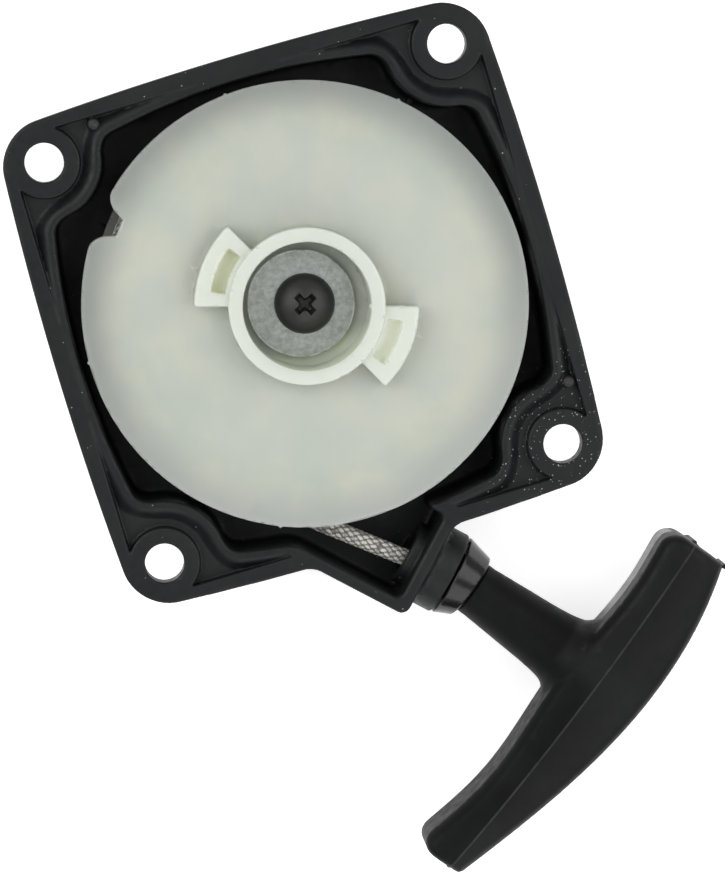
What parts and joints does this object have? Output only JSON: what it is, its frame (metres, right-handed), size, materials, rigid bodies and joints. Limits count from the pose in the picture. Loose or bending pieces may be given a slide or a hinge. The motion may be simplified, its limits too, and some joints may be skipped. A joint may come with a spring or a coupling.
{
  "type": "recoil starter",
  "caption": "Pull-rope recoil starter: square flanged case, nylon rope reel with a two-eared catch cup, spiral return spring, braided rope and T-handle.",
  "frame": {"origin": "centre of the four-bolt pattern on the case's mounting face", "axes": "+Z out of the open side towards the engine, along the reel's axis; +X and +Y along the sides of the square flange, with the rope outlet towards -Y and +X"},
  "size_m": [0.0987, 0.1439, 0.0277],
  "materials": {
    "black_nylon": "fine moulded texture, semi-matte",
    "black_gloss": "smooth moulded, semi-gloss",
    "black_grip": "matte moulded",
    "natural_nylon": "milky translucent, satin",
    "zinc": "zinc-plated sheet, mottled",
    "black_steel": "black oxide",
    "spring_steel": "rolled, oiled",
    "brass": "turned",
    "rope": "braided, off-white with dark flecks"
  },
  "bodies": {
    "housing": {"starter_case": "black_nylon", "outlet_nozzle": "black_gloss", "spindle_insert": "brass", "reel_washer": "zinc", "reel_screw": "black_steel", "spring_cassette": "zinc", "spring_cover": "zinc", "recoil_spring": "spring_steel", "rope_lead": "rope"},
    "reel": {"rope_reel": "natural_nylon", "rope_wound": "rope", "reel_knot": "rope"},
    "rope_end": {"rope_tail": "rope", "handle_knot": "rope"},
    "handle": {"handle_grip": "black_grip"}
  },
  "joints": [
    {"name": "rope_pull", "type": "slide", "parent": "housing", "child": "rope_end", "axis": [0.6157, -0.788, 0], "range_m": [0, 0.65], "stiffness_N_per_m": 15, "springref_m": -0.7, "deforming": ["rope_lead"]},
    {"name": "reel_spin", "type": "hinge", "parent": "housing", "child": "reel", "pos_m": [0, 0, -0.01], "axis": [0, 0, 1], "range_deg": [0, 1440], "deforming": ["recoil_spring", "rope_wound"]},
    {"name": "handle_swivel", "type": "hinge", "parent": "rope_end", "child": "handle", "pos_m": [0.01297, -0.05384, -0.008], "axis": [0.6157, -0.788, 0], "continuous": true}
  ],
  "couplings": [
    {"joint": "reel_spin", "follows": "rope_pull", "rad_per_m": 36.5}
  ]
}
